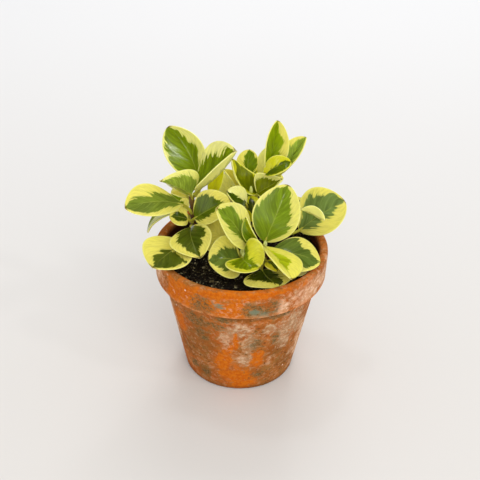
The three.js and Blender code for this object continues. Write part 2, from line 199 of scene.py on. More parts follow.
# How a leaf is coloured: tone of its centre, colour of its margin, and the lower and upper edge of
# the green centre across the blade (-100 right margin, 100 left one) at eleven stations from base
# to tip. A leaf without edges has no green centre, and DRAWN edges come from the leaf's own seed
Paint = namedtuple("Paint", "tone margin lower upper", defaults=(None, None))
DRAWN = "drawn"
PLAIN = Paint("green", "yellow", DRAWN)
STATIONS = np.linspace(0, 1, 11)
DRAWN_EDGE, DRAWN_SPREAD = 0.55, 0.22
NO_GREEN = -2.0
PAINT = {
    "shoot_left": (
        Paint("bright", "pale", (-20, -20, -25, -30, -42, -45, -45, -35, -38, -45, -10),
              (110, 110, 110, 105, 100, 95, 88, 85, 88, 92, 90)),
        Paint("mixed", "pale", (-15,) * 11, (90, 90, 88, 82, 80, 66, 46, 42, 50, 65, 10)),
        Paint("olive", "lime"),
        Paint("sage", "pale", (-75, -75, -72, -70, -66, -64, -62, -60, -55, -40, 0),
              (30, 40, 45, 50, 50, 50, 50, 45, 35, 25, 10)),
        Paint("grey", "yellow", (-90, -85, -75, -60, -50, -42, -38, -36, -38, -45, -20),
              (50, 55, 60, 62, 65, 68, 70, 70, 72, 75, 40)),
        Paint("shade", "yellow", (-50, -55, -60, -60, -50, -45, -35, -15, 0, 0, 0),
              (90, 90, 92, 92, 90, 86, 80, 55, 10, 0, 0)),
        Paint("dark", "yellow", (-30, -35, -40, -42, -45, -45, -50, -50, -40, -20, 0),
              (20, 25, 35, 42, 48, 50, 50, 50, 35, 10, 0)),
        Paint("milk", "verdant", (-50,) * 11, (60,) * 11),
        Paint("olive", "yellow"),
        Paint("dusk", "yellow", (-90, -92, -95, -85, -72, -60, -55, -42, -42, -30, -10),
              (75, 78, 80, 82, 85, 78, 62, 48, 30, 12, 10)),
        Paint("dusk", "yellow", (-10, 0, 10, 10, 10, 10, -28, -22, -30, -12, 0),
              (-30, -30, -20, 0, 10, 30, 88, 85, 80, 75, 40)),
        PLAIN,
    ),
    "shoot_back": (
        Paint("vivid", "yellow", (-20, -25, -30, -35, -48, -45, -55, -70, -30, -32, 0),
              (120, 120, 120, 120, 110, 110, 100, 100, 100, 100, 80)),
        Paint("sage", "yellow", (-90,) * 11, (30, 40, 50, 55, 60, 60, 62, 62, 55, 45, 20)),
        Paint("shade", "lime", (-85,) * 10 + (-30,),
              (-30, -30, -20, 0, 10, 15, 20, 28, 32, 36, 10)),
        Paint("green", "yellow", (-80, -85, -88, -88, -88, -86, -84, -80, -75, -60, -20),
              (35, 35, 38, 42, 42, 40, 38, 36, 34, 30, 10)),
        Paint("moss", "lime", (-96,) * 9 + (-90, -70),
              (50, 50, 50, 45, 40, 25, 5, -20, -40, -50, -60)),
        Paint("moss", "pale", (-90, -90, -85, -80, -75, -70, -60, -50, -40, -30, -10),
              (80, 80, 76, 72, 68, 62, 50, 34, 20, 10, 0)),
        Paint("olive", "pale"),
        Paint("green", "olive", DRAWN),
        PLAIN,
    ),
    "shoot_middle": (
        Paint("dark", "pale", (-30, -20, -10, 0, 0, 0, 5, 10, 10, 20, 30), (95,) * 11),
        Paint("deep", "lime", (-10, -10, 0, 0, 0, -5, -15, -20, -25, -10, 0),
              (-10, -10, 0, 5, 10, 30, 50, 50, 50, 20, 0)),
        Paint("olive", "yellow"),
        Paint("olive", "pale"),
    ),
    "shoot_front": (
        Paint("fresh", "cream", (-10, -20, -40, -60, -70, -50, -45, -60, -85, -40, 0),
              (10, 12, 30, 38, 40, 42, 45, 50, 50, 50, 30)),
        Paint("slate", "yellow", (-40, -55, -75, -60, -50, -47, -42, -40, -30, -35, 0),
              (20, 20, 20, 30, 40, 65, 62, 58, 55, 52, 20)),
        Paint("bright", "citrus", (-70, -80, -80, -72, -62, -60, -56, -54, -45, -8, 0),
              (120, 110, 80, 50, 30, 20, 20, 20, 20, 10, 0)),
        Paint("olive", "yellow"),
    ),
    "shoot_right": (
        Paint("silver", "yellow", (-5, -30, -42, -45, -40, -22, -28, -30, -15, -10, 0),
              (50, 50, 52, 80, 78, 72, 68, 66, 70, 75, 20)),
        Paint("sage", "pale", (-20, -15, -10, -5, 0, 2, 4, 6, 10, 10, 0), (20,) * 11),
        PLAIN, PLAIN,
    ),
    "shoot_right_front": (
        Paint("mid", "cream", (-50, -60, -70, -72, -66, -60, -56, -46, -42, -56, 0),
              (115, 115, 120, 125, 125, 115, 95, 78, 74, 80, 20)),
        Paint("green", "limegreen", (10, 20, 40, 40, 30, 20, 20, 20, 25, 35, 10),
              (20, 50, 90, 110, 110, 110, 110, 110, 100, 80, 20)),
        Paint("slate", "yellow", (-60, -60, -60, -55, -50, -45, -40, -75, -80, -60, 0),
              (120, 120, 120, 115, 105, 80, 50, 45, 35, 15, 0)),
        Paint("limegreen", "lemon", (0, 0, 0, -3, -8, -15, -35, -20, 0, 10, 10),
              (0, 10, 20, 30, 33, 35, 38, 20, 0, -10, -10)),
        Paint("deep", "yellow", (-90, -90, -90, -90, -75, -50, -35, -20, 0, 20, 10),
              (50, 50, 50, 50, 45, 40, 40, 42, 48, 50, 10)),
        Paint("dark", "pale", DRAWN),
        Paint("dark", "olive", (-30,) * 11, (30,) * 11),
    ),
    "shoot_rear": (
        PLAIN,
        Paint("grey", "yellow", DRAWN),
        PLAIN,
        Paint("green", "olive", DRAWN),
    ),
}

# Weathering of the pot, and a painted highlight along the front of its lip among the clean patches,
# each patch as its angle round the pot from the front (right is positive), its height in mm, and
# how far it reaches in degrees and in mm
WEATHER_AND_LIP_HIGHLIGHT = {
    # the long clean patch at 0 degrees and 111 mm, along the front of the lip, is a painted
    # highlight
    "clean_and_lip_highlight": ((-30, 104, 26, 9), (-42, 97, 14, 9), (-6, 97, 10, 9), (0, 111, 55, 4),
        (-2, 103, 8, 5), (-14, 30, 8, 21), (0, 15, 22, 15), (16, 38, 7, 13), (-3, 59, 2.5, 13),
        (-7, 50, 3, 6), (-56, 62, 9, 14), (-30, 88, 26, 3)),
    "moss": ((-25, 100, 9, 9), (6, 99, 6, 8), (20, 99, 7, 9), (13, 98, 12, 9), (-27, 92, 8, 4),
        (-36, 76, 12, 9), (-19, 74, 10, 5), (-11, 83, 9, 3), (-31, 60, 6, 8), (14, 55, 7, 9),
        (17, 17, 9, 6), (29, 59, 5, 8), (-33, 14, 7, 6), (-47, 18, 6, 5), (30, 84, 12, 3)),
    "teal": ((16, 91, 8, 6), (-13, 101, 5, 3), (10, 97, 5, 3)),
    "grey": ((-2, 70, 15, 11), (9, 55, 8, 18), (-11, 60, 6, 12), (6, 38, 7, 9), (24, 70, 10, 8),
        (-15, 103, 6, 4), (44, 67, 20, 22), (38, 54, 11, 13)),
    "lime": ((58, 101, 34, 14), (-72, 102, 16, 12), (3, 76, 12, 6), (3, 40, 5, 7),
        (-78, 50, 16, 40), (76, 104, 20, 12), (28, 96, 8, 10), (74, 40, 20, 40), (27, 32, 4, 7),
        (-46, 101, 4, 5)),
    "rubbed": ((-30, 101, 12, 8), (-5, 97, 14, 7), (34, 102, 12, 9), (52, 98, 20, 12),
        (-66, 101, 16, 10), (2, 106, 20, 4), (-9, 58, 7, 12)),
    "brown": ((-33, 52, 20, 28), (-36, 16, 17, 12), (47, 24, 14, 11), (32, 44, 14, 14),
        (-50, 38, 18, 16), (8, 86, 34, 4)),
}

# The side that the photograph doesn't show has so many patches of each kind, drawn in these ranges
FAR_SIDE_PATCHES = 4
FAR_SIDE_RANGES = (95, 265), (5, 110), (8, 30), (4, 18)
FAR_SIDE_REACH = {"teal": 0.35, "moss": 0.7, "clean_and_lip_highlight": 0.8}
FAR_SIDE_SEED = 40
# How deep inside a patch a place lies that is far from all of them
BARE = -1.5

# Screen colours, 0 to 255: the leaves' green centres, their margins, and all else. Two colours
# under one name are blended by noise; the floor's two go from near to far, as painted light falloff
TONES = {
    "green": (104, 130, 4), "mid": (122, 146, 26), "dark": (66, 86, 4), "deep": (50, 64, 2),
    "grey": (116, 134, 42), "mixed": (118, 138, 6), "slate": (96, 116, 40), "moss": (120, 130, 2),
    "limegreen": (168, 180, 10), "olive": (200, 190, 24), "sage": (150, 172, 58),
    "silver": (114, 136, 64), "fresh": (122, 146, 30), "dusk": (76, 90, 12),
    "bright": (122, 144, 4), "vivid": (138, 160, 8), "milk": (196, 198, 146), "shade": (88, 108, 4),
}
MARGINS = {
    "yellow": (231, 221, 106), "pale": (238, 234, 142), "cream": (232, 226, 118),
    "lime": (212, 210, 24), "lemon": (230, 222, 92), "olive": (232, 222, 50),
    "limegreen": (166, 176, 10), "citrus": (222, 220, 56), "verdant": (120, 134, 60),
}
COLOURS = {
    "leaf_edge": (244, 240, 150), "midrib": (206, 208, 90), "leaf_tip": (96, 70, 30),
    "underside": (250, 246, 148), "underside_green": (176, 186, 84),
    "wood": ((48, 22, 10), (96, 54, 30)), "young": ((64, 34, 10), (112, 82, 30)),
    "stalk": ((186, 184, 60), (156, 150, 40)), "bud": ((230, 234, 150), (200, 208, 104)),
    "clay": ((172, 88, 26), (198, 116, 54)), "umber": (154, 102, 48), "dusky": (122, 72, 30),
    "brown": (134, 80, 30), "tarnish": (132, 112, 62), "veil": (204, 158, 116),
    "fleck": (98, 60, 26), "lime": ((208, 156, 114), (242, 208, 178)),
    "stone": ((170, 132, 96), (208, 178, 144)), "bright": ((192, 90, 6), (208, 114, 22)),
    "rubbed": (220, 156, 116), "moss": ((74, 60, 26), (128, 108, 68)), "teal": (118, 128, 104),
    "speck": (236, 208, 184), "worn": (222, 144, 88), "band_shade_and_dark_foot": (84, 44, 14),
    "painted_inside_shade": ((50, 20, 4), (80, 36, 10)), "soil": ((10, 7, 5), (40, 31, 23)),
    "soil_lump": (62, 48, 34), "grit": (124, 118, 90), "perlite": ((162, 154, 118), (104, 94, 64)),
    "perlite_pit": (84, 70, 54), "bark": ((54, 38, 24), (100, 88, 54)), "bark_crack": (24, 16, 10),
    # the floor's near and far colour: painted light falloff
    "floor": ((215, 212, 208), (230, 230, 230)),
}

# The camera, fitted to the photograph: angles in degrees, distances in metres
SENSOR = 36
FOCAL_PIXELS, FRAME_PIXELS = 856.5, 480
CAMERA_ELEVATION, CAMERA_DISTANCE = 36.5, 0.72
CAMERA_PITCH, CAMERA_YAW, CAMERA_ROLL = 32.45, 0.11, 1.03
TARGET_HEIGHT = 0.057

# The lamps: name, place, what it points at, size, power, colour, and whether gloss shows it
WHITE, COOL = (1.0, 1.0, 1.0), (0.95, 0.99, 1.05)
CROWN = (0, 0, 0.15)
LAMPS = (
    ("key", (0.2, 2.2, 2.3), (0, 0.2, 0.1), 1.9, 24, (0.98, 0.99, 1.03), False),
    ("fill", (0.5, -2.3, 2.0), (0, 0, 0.1), 3.0, 44, (1.0, 0.99, 0.97), False),
    ("window_right", (1.5, -0.85, 1.7), CROWN, 0.2, 3.5, WHITE, True),
    ("window_front", (-0.25, -2.4, 0.75), CROWN, 0.22, 2.5, WHITE, True),
    ("window_top", (-0.4, 0.5, 2.2), CROWN, 0.25, 2.5, COOL, True),
    ("sheen", (0.5, 2.0, 1.5), CROWN, 0.3, 2.5, COOL, True),
)
WORLD_COLOUR, WORLD_STRENGTH = (1.0, 0.992, 0.985, 1), 0.74


def linear(colour):
    out = []
    for value in colour:
        c = value / 255
        out.append(c / 12.92 if c <= 0.04045 else ((c + 0.055) / 1.055) ** 2.4)
    return (*out, 1.0)


def shaded(colour, share):
    return tuple(c * share for c in colour[:3]) + (1,)


def unit(v):
    v = np.asarray(v, float)
    return v / np.linalg.norm(v, axis=-1, keepdims=True)


def new_object(name, data):
    made = bpy.data.objects.new(name, data)
    bpy.context.scene.collection.objects.link(made)
    return made


def mesh_object(name, verts, faces, material):
    mesh = bpy.data.meshes.new(name)
    mesh.from_pydata([tuple(map(float, v)) for v in verts], [], faces)
    mesh.validate()
    mesh.materials.append(material)
    return new_object(name, mesh)


def make_piece(name, verts, faces, material, nodes):
    """A smooth piece of the object from points in mm, in the place of CAD nodes."""
    piece = mesh_object(name, np.array(verts) * MM, faces, material)
    piece.data.polygons.foreach_set("use_smooth", [True] * len(piece.data.polygons))
    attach(piece, "root")
    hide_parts(*nodes)
    return piece


def keep_values(piece, layers):
    """Keeps a value for each point of a piece, for its material to read by name."""
    for key, values in layers.items():
        layer = piece.data.attributes.new(key, "FLOAT", "POINT")
        layer.data.foreach_set("value", np.asarray(values, np.float32))


def circle(radius, sides):
    turns = (2 * math.pi * i / sides for i in range(sides))
    return [(radius * math.cos(angle), radius * math.sin(angle)) for angle in turns]


def sleeve(start, rows, sides, inward=False):
    """Faces between closed rings of points that lie one after another."""
    faces = []
    for a in range(start, start + (rows - 1) * sides, sides):
        b = a + sides
        for j in range(sides):
            k = (j + 1) % sides
            faces.append((a + j, b + j, b + k, a + k) if inward else (a + j, a + k, b + k, b + j))
    return faces


class Nodes:
    """A small writer of shader nodes. A colour is four numbers, or a name in COLOURS."""

    def __init__(self, name):
        self.material = bpy.data.materials.new(name)
        self.material.use_nodes = True
        self.tree = self.material.node_tree
        self.shader = self.tree.nodes["Principled BSDF"]

    def node(self, kind, inputs, **options):
        made = self.tree.nodes.new("ShaderNode" + kind)
        for key, value in options.items():
            setattr(made, key, value)
        for key, value in inputs.items():
            self.put(made.inputs[key], value)
        return made

    def put(self, socket, value):
        if isinstance(value, bpy.types.NodeSocket):
            self.tree.links.new(value, socket)
        else:
            socket.default_value = linear(COLOURS[value]) if isinstance(value, str) else value

    def finish(self, inputs):
        """Sets the shader's own inputs."""
        for key, value in inputs.items():
            self.put(self.shader.inputs[key], value)
        return self.material

    def place(self):
        return self.node("TexCoord", {}).outputs["Object"]

    def layer(self, name):
        """A value that keep_values() kept."""
        return self.node("Attribute", {}, attribute_name=name).outputs["Fac"]

    def math(self, operation, *values):
        return self.node("Math", dict(enumerate(values)), operation=operation).outputs[0]

    def add(self, a, b):
        return self.math("ADD", a, b)

    def times(self, a, b):
        return self.math("MULTIPLY", a, b)

    def swing(self, value, reach):
        """A noise value as a push of up to half the reach to either side."""
        return self.times(self.math("SUBTRACT", value, 0.5), reach)

    def mix(self, factor, a, b):
        return self.node("Mix", {0: factor, 6: a, 7: b}, data_type="RGBA").outputs[2]

    def over(self, below, factor, above, amount=1):
        """One layer of colour over another."""
        return self.mix(factor if amount == 1 else self.times(factor, amount), below, above)

    def smooth(self, value, low, high, to_low=0.0, to_high=1.0):
        inputs = dict(enumerate((value, low, high, to_low, to_high)))
        return self.node("MapRange", inputs, interpolation_type="SMOOTHSTEP").outputs[0]

    def tones(self, value, low, high, a, b=None):
        """Two colours, or a name of two, blended where a value goes from low to high."""
        if b is None:
            a, b = map(linear, COLOURS[a])
        return self.mix(self.smooth(value, low, high), a, b)

    def noise(self, vector, scale, detail=3.0, rough=0.5, distortion=0.0):
        return self.node("TexNoise", {
            "Vector": vector, "Scale": scale, "Detail": detail, "Roughness": rough,
            "Distortion": distortion}).outputs["Fac"]

    def bump(self, height, distance, strength, **more):
        return self.node("Bump", {
            "Height": height, "Distance": distance, "Strength": strength, **more}).outputs["Normal"]


# Leaves

def axes_of(leaf):
    along = unit(np.subtract(leaf.tip, leaf.base))
    up = np.asarray(leaf.up, float)
    up = unit(up - along * (up @ along))
    return along, np.cross(up, along), up


def half_width(leaf, s):
    power = math.log(0.5) / math.log(leaf.wide)
    full = leaf.width / 2 * np.sin(np.pi * np.clip(s, 0, 1) ** power) ** LEAF_FULLNESS
    return np.maximum(full, LEAF_BASE_HALF_WIDTH * (1 - s))


def blade_point(leaf, s, t):
    """The point of the blade at s from base to tip and t from right to left margin."""
    along, left, up = axes_of(leaf)
    s, t = np.broadcast_arrays(np.asarray(s, float), np.asarray(t, float))
    length = np.linalg.norm(np.subtract(leaf.tip, leaf.base))
    arch = 4 * s * (1 - s)
    slope = 4 * leaf.bow * (1 - 2 * s) / length
    local = unit(up - along * slope[..., None])
    reach = half_width(leaf, s) * np.abs(t)
    angle = np.radians(np.where(t > 0, leaf.fold[0], leaf.fold[1]) + leaf.curl * np.abs(t))
    side = leaf.lean * arch + np.sign(t) * reach * np.cos(angle)
    return (np.asarray(leaf.base, float) + along * (length * s)[..., None]
            + up * (leaf.bow * arch)[..., None]
            + left * side[..., None] + local * (reach * np.sin(angle))[..., None])


def blade_normal(leaf, s, t):
    step = NORMAL_STEP
    mid = np.clip(s, 3 * step, 1 - 3 * step)
    ahead = blade_point(leaf, mid + step, t) - blade_point(leaf, mid - step, t)
    across = blade_point(leaf, mid, t + step) - blade_point(leaf, mid, t - step)
    return unit(np.cross(ahead, across))


def green_edge(paint, s, t, seed):
    """How far inside the green centre a point is, in half widths; below 0 it is in the margin."""
    if paint.lower is None:
        return np.full(np.shape(t), NO_GREEN)
    if paint.lower == DRAWN:
        draw = np.random.default_rng(seed)
        lower = -DRAWN_EDGE + DRAWN_SPREAD * draw.standard_normal(len(STATIONS))
        upper = DRAWN_EDGE + DRAWN_SPREAD * draw.standard_normal(len(STATIONS))
        lower[-1], upper[-1] = 0, 0
    else:
        lower, upper = np.array(paint.lower) / 100, np.array(paint.upper) / 100
    return np.minimum(np.interp(s, STATIONS, upper) - t, t - np.interp(s, STATIONS, lower))


def leaf_grid(leaf):
    """Rings of places from base to tip, crowded towards both ends and both margins."""
    s = 0.5 - 0.5 * np.cos(np.pi * np.arange(1, RINGS) / RINGS)
    half = half_width(leaf, s)[:, None]
    core = 1 - np.minimum(EDGE_ROUND / half, EDGE_SHARE)
    inner = np.sin(np.linspace(-1, 1, ACROSS + 1) * ACROSS_CROWDING) / math.sin(ACROSS_CROWDING)
    t = np.concatenate([
        -(core + (1 - core) * EDGE_STEPS[::-1][None]),
        core * inner[None],
        core + (1 - core) * EDGE_STEPS[None],
    ], axis=1)
    return np.broadcast_to(s[:, None], t.shape), t, half, core


def leaf_surface(leaf, seed):
    """The places of the grid, and its points on the upper and on the lower face of the blade."""
    s, t, half, core = leaf_grid(leaf)
    thick = (LEAF_THICKNESS + (MARGIN_THICKNESS - LEAF_THICKNESS) * t * t) / 2
    beyond = np.clip((np.abs(t) - core) / (1 - core), 0, 1)
    thick = thick * np.sqrt(1 - beyond ** 2)
    points = blade_point(leaf, s, t)
    normals = blade_normal(leaf, s, t)
    reach = t * half
    a, b, c, d = np.random.default_rng(seed).uniform(0, 2 * math.pi, 4)
    belly = np.sin(np.pi * s)
    fade = belly * np.clip(1 - np.abs(t) ** 6, 0, 1)
    wave = WAVE * fade * (np.sin(5.1 * s + 2.2 * t + a) + 0.7 * np.sin(9.3 * s - 3.1 * t + b))
    wave += EDGE_WAVE * np.abs(t) ** 2 * belly * np.sin(7.5 * s + c + np.where(t > 0, 0, 1.7))
    groove = GROOVE_DEPTH * np.exp(-(reach / GROOVE_REACH) ** 2) * np.clip(1.15 - s, 0, 1)
    quill = s - VEIN_LEAN * np.abs(t)
    pleat = PLEAT_HEIGHT * np.cos(2 * np.pi * (quill * PLEAT_COUNT + d))
    pleat = pleat * fade * np.clip(np.abs(t) * 4, 0, 1)
    ridge = RIDGE_HEIGHT * np.exp(-(reach / RIDGE_REACH) ** 2) * np.clip(1.1 - s, 0, 1)
    top = points + normals * (thick + wave - groove + pleat)[..., None]
    bottom = points - normals * (thick - wave + ridge)[..., None]
    return s, t, top, bottom


def leaf_piece(name, leaf, paint, node, seed):
    s, t, top, bottom = leaf_surface(leaf, seed)
    rings, columns = t.shape
    # each ring runs across the upper face and back across the lower one
    loop = [*range(columns), *range(columns - 2, 0, -1)]
    sides = len(loop)
    above = np.broadcast_to(np.arange(sides) < columns, (rings, sides))
    verts = list(np.where(above[..., None], top[:, loop], bottom[:, loop]).reshape(-1, 3))
    verts += list(blade_point(leaf, np.array([0.0, 1.0]), np.array([0.0, 0.0])))
    along = np.append(s[:, loop], (0, 1))
    across = np.append(t[:, loop], (0, 0))
    faces = sleeve(0, rings, sides)
    base, last = rings * sides, (rings - 1) * sides
    for j in range(sides):
        k = (j + 1) % sides
        faces.append((base, k, j))
        faces.append((last + j, last + k, base + 1))
    material = leaf_material(name, paint, seed)
    piece = make_piece(name, verts, faces, material, [node])
    keep_values(piece, {
        "along": along, "across": across, "face": np.append(above, (1, 1)),
        "inside": green_edge(paint, along, across, seed),
        "side": half_width(leaf, along) * across,
    })


def leaf_material(name, paint, seed):
    n = Nodes(name)
    tone, margin = TONES[paint.tone], MARGINS[paint.margin]
    along, across, face, inside, side = (
        n.layer(key) for key in ("along", "across", "face", "inside", "side"))
    out = n.math("ABSOLUTE", across)
    quill = n.math("SUBTRACT", along, n.times(out, VEIN_LEAN))
    # noise that runs along the veins, of its own for each leaf and each half
    where = n.node("CombineXYZ", {
        0: quill, 1: n.times(out, 0.16), 2: n.times(n.math("SIGN", across), 0.31)}).outputs[0]
    where = n.node("VectorMath", {
        0: where, 1: (seed * 1.37, seed * 0.71, seed * 0.53)}, operation="ADD").outputs[0]
    broad = n.noise(where, 4.5, 1.0, 0.5)
    # fingers of green that run out along the veins
    push = n.add(n.swing(n.noise(where, 13, 2.5, 0.62), 0.75), n.swing(broad, 0.35))
    edge = n.math("SUBTRACT", n.add(inside, push), n.smooth(out, 0.93, 0.97))
    mask = n.smooth(edge, -0.025, 0.025)
    halo = n.smooth(edge, -0.16, 0.02)
    # streaks within the green, and side veins a little lighter than the blade
    streak = n.noise(where, 26, 2.0, 0.6)
    lighter = linear(tuple(min(255, c * 1.22 + 14) for c in tone))
    patchy = n.noise(where, 6, 2.0, 0.5)
    green = n.tones(patchy, 0.38, 0.62, shaded(linear(tone), 0.7), linear(tone))
    green = n.over(green, n.smooth(streak, 0.5, 0.72), lighter, 0.3)
    veins = n.math("SINE", n.add(n.times(quill, 44.0), n.times(broad, 4.0)))
    green = n.over(green, n.smooth(veins, 0.75, 1.0), lighter, 0.18)
    # the margin, greener next to the centre and paler at the very edge
    leafy = linear(tuple(0.5 * a + 0.5 * b for a, b in zip(tone, margin)))
    rim = n.tones(streak, 0.35, 0.65, linear(margin), shaded(linear(margin), 0.86))
    rim = n.over(rim, halo, leafy, 0.45)
    rim = n.over(rim, n.smooth(out, 0.9, 0.995), "leaf_edge", 0.4)
    colour = n.mix(mask, rim, green)
    # midrib, the small point at the tip, and the paler underside
    rib = n.times(n.smooth(n.math("ABSOLUTE", side), 0.6, 0.15), n.smooth(along, 0.96, 0.5))
    colour = n.over(colour, rib, "midrib", 0.24)
    colour = n.over(colour, n.smooth(along, 0.972, 0.995), "leaf_tip", 0.75)
    under = n.over("underside", mask, "underside_green", 0.5)
    colour = n.mix(face, under, colour)
    grain = n.noise(n.place(), 900, 2.0)
    rough = n.add(n.add(0.15, n.times(grain, 0.08)), n.times(n.math("SUBTRACT", 1.0, face), 0.2))
    normal = n.bump(n.add(n.times(veins, -0.5), n.times(streak, 0.8)), 0.00012, 0.35)
    return n.finish({
        "Base Color": colour,
        "Roughness": rough,
        "Normal": n.bump(grain, 0.00004, 0.4, Normal=normal),
        "Subsurface Weight": 0.45,
        "Subsurface Radius": (1.0, 1.0, 0.3),
        "Subsurface Scale": 0.003,
        "Coat Weight": 0.1,
        "Coat Roughness": 0.22,
    })


# Stems, leaf stalks and buds

def part(k, low, high, a, b):
    """From a, where k is low, to b, where it is high."""
    return (high - k) / (high - low) * a + (k - low) / (high - low) * b


def spline(points, count):
    """Points of a smooth curve through the given ones, evenly spaced."""
    p = np.asarray(points, float)
    p = np.vstack([2 * p[0] - p[1], p, 2 * p[-1] - p[-2]])
    out = []
    for i in range(1, len(p) - 2):
        knots = [0.0]
        for a, b in ((i - 1, i), (i, i + 1), (i + 1, i + 2)):
            knots.append(knots[-1] + np.linalg.norm(p[b] - p[a]) ** 0.5)
        k0, k1, k2, k3 = knots
        for k in np.linspace(k1, k2, 24, endpoint=i == len(p) - 3):
            a1, a2, a3 = (part(k, knots[j], knots[j + 1], p[i + j - 1], p[i + j]) for j in range(3))
            out.append(part(k, k1, k2, part(k, k0, k2, a1, a2), part(k, k1, k3, a2, a3)))
    out = np.array(out)
    run = np.concatenate([[0], np.cumsum(np.linalg.norm(np.diff(out, axis=0), axis=1))])
    at = np.linspace(0, run[-1], count)
    return np.stack([np.interp(at, run, out[:, c]) for c in range(3)], axis=1)


def bezier(a, b, c, d, count):
    u = np.linspace(0, 1, count)[:, None]
    return (1 - u) ** 3 * a + 3 * u * (1 - u) ** 2 * b + 3 * u * u * (1 - u) * c + u ** 3 * d


def swollen(radius, low, span):
    """Radii of a bud, from its foot to its point."""
    v = np.clip(np.linspace(0, 1, BUD_STEPS) * span + low, 0, 1)
    return radius * np.sin(np.pi * v) ** 0.8


class Tubes:
    """Closed tubes with rounded ends, gathered into one mesh."""

    def __init__(self):
        self.verts, self.faces, self.kinds = [], [], []

    def add(self, path, radii, sides, kind, flat=1.0, side=(1.0, 0.2, 0.1)):
        path = np.asarray(path, float)
        ahead = unit(np.gradient(path, axis=0))
        side = np.asarray(side, float)
        start = len(self.verts)
        for i, (centre, radius) in enumerate(zip(path, radii)):
            side = unit(side - ahead[i] * (side @ ahead[i]))
            other = np.cross(ahead[i], side)
            for x, y in circle(1, sides):
                self.verts.append(centre + radius * (x * side + flat * y * other))
        self.faces += sleeve(start, len(path), sides)
        for i, way in ((0, -1), (len(path) - 1, 1)):
            cap, a = len(self.verts), start + i * sides
            self.verts.append(path[i] + ahead[i] * way * radii[i] * 0.4)
            for j in range(sides):
                k = (j + 1) % sides
                self.faces.append((a + k, a + j, cap) if way < 0 else (a + j, a + k, cap))
        self.kinds += [kind] * (len(self.verts) - start)


def stem_material():
    n = Nodes("stem")
    place = n.place()
    kind, height = n.layer("kind"), n.layer("height")
    mottle = n.noise(place, 420, 4.0, 0.6)
    patch = n.noise(place, 110, 3.0, 0.5)
    woody = n.tones(mottle, 0.35, 0.65, "wood")
    young = n.tones(mottle, 0.3, 0.7, "young")
    stem = n.tones(n.add(height, n.swing(patch, 0.6)), 0.35, 0.95, woody, young)
    stalk = n.tones(patch, 0.35, 0.65, "stalk")
    bud = n.tones(mottle, 0.3, 0.7, "bud")
    colour = n.tones(kind, 0.2, 0.6, stem, stalk)
    return n.finish({
        "Base Color": n.tones(kind, 1.2, 1.6, colour, bud),
        "Roughness": n.add(0.4, n.times(mottle, 0.25)),
        "Normal": n.bump(mottle, 0.0003, 0.6),
        "Subsurface Weight": 0.05,
        "Subsurface Scale": 0.001,
    })


def stem_piece(name, shoot, node, material, seed):
    tubes = Tubes()
    path = spline(shoot.points, STEM_STEPS)
    u = np.linspace(0, 1, STEM_STEPS)
    radii = np.full(STEM_STEPS, shoot.radius * STEM_FULLNESS) * (1 - STEM_TAPER * u)
    for leaf in shoot.leaves:
        radii += JOINT_SWELL * shoot.radius * np.exp(-((u - leaf.joint) / JOINT_REACH) ** 2)
    radii += STEM_WOBBLE * np.sin(u * 37 + np.random.default_rng(seed).uniform(0, 6))
    tubes.add(path, radii, 16, STEM_KIND)
    v = np.linspace(0, 1, PETIOLE_STEPS)
    stalk = PETIOLE_RADIUS * (1.12 - 0.3 * v) * np.clip((1 - v) * 6 + 0.45, 0, 1)
    for leaf in shoot.leaves:
        along, _, up = axes_of(leaf)
        start = path[int(round(leaf.joint * (STEM_STEPS - 1)))]
        end = blade_point(leaf, PETIOLE_END, 0.0) - up * PETIOLE_SINK
        entry = blade_point(leaf, 0.0, 0.0) - along * PETIOLE_RUN
        run = bezier(start, start + 0.5 * (entry - start), entry, end, PETIOLE_STEPS)
        tubes.add(run, stalk, 12, STALK_KIND, 0.86, up)
    # the two young leaves of the bud at the top
    top = path[-1] + np.array([0, 0, BUD_RISE])
    rise = np.array([0, 0, 3])
    for turn in BUD_TURNS:
        lean = np.array([math.cos(turn + seed), math.sin(turn + seed), 0.0])
        low = top - np.array([0, 0, BUD_HEIGHT / 2])
        peak = top + np.array([0, 0, BUD_HEIGHT / 2]) + lean * 0.5
        run = bezier(low, low + lean * 0.9 + rise, peak + lean * 0.9 - rise, peak, BUD_STEPS)
        full = swollen(shoot.radius * BUD_FULLNESS, 0.04, 0.93)
        tubes.add(run, 0.12 + full, 12, BUD_KIND, 0.6, lean)
    for low, peak in SPROUTS.get(node, ()):
        low, peak = np.array(low, float), np.array(peak, float)
        start, reach = path[-6], peak - low
        run = bezier(start, start + 0.5 * (low - start), low - 0.4 * reach, low + 0.3 * reach, 12)
        tubes.add(run, np.full(12, SPROUT_STALK_RADIUS), 10, STALK_KIND)
        run = low + reach * np.linspace(0, 1, BUD_STEPS)[:, None]
        tubes.add(run, 0.1 + swollen(SPROUT_RADIUS, 0.06, 0.9), 12, BUD_KIND, 0.6)
    piece = make_piece(name, tubes.verts, tubes.faces, material, [node])
    top_height = shoot.points[-1][2]
    heights = [(v[2] - SOIL_TOP) / (top_height - SOIL_TOP) for v in tubes.verts]
    keep_values(piece, {"kind": tubes.kinds, "height": heights})


# Pot

def inner_radius(z):
    foot = FOOT_RADIUS - WALL
    return foot + (RIM_RADIUS - WALL - foot) * z / POT_HEIGHT


def rounded(corners):
    """Turns the corners of an outline into arcs, and cuts its long sides into short ones."""
    points = []
    for i, (radius, z, rounding) in enumerate(corners):
        corner = np.array([radius, z], float)
        start, end = (corner + rounding * unit(np.array(other[:2], float) - corner)
                      for other in (corners[i - 1], corners[(i + 1) % len(corners)]))
        for u in np.linspace(0, 1, ROUND_STEPS + 1):
            points.append((1 - u) ** 2 * start + 2 * u * (1 - u) * corner + u * u * end)
    fine = []
    for a, b in zip(points, points[1:] + points[:1]):
        cuts = max(1, int(np.linalg.norm(b - a) / OUTLINE_STEP))
        fine += [a + (b - a) * k / cuts for k in range(cuts)]
    return fine


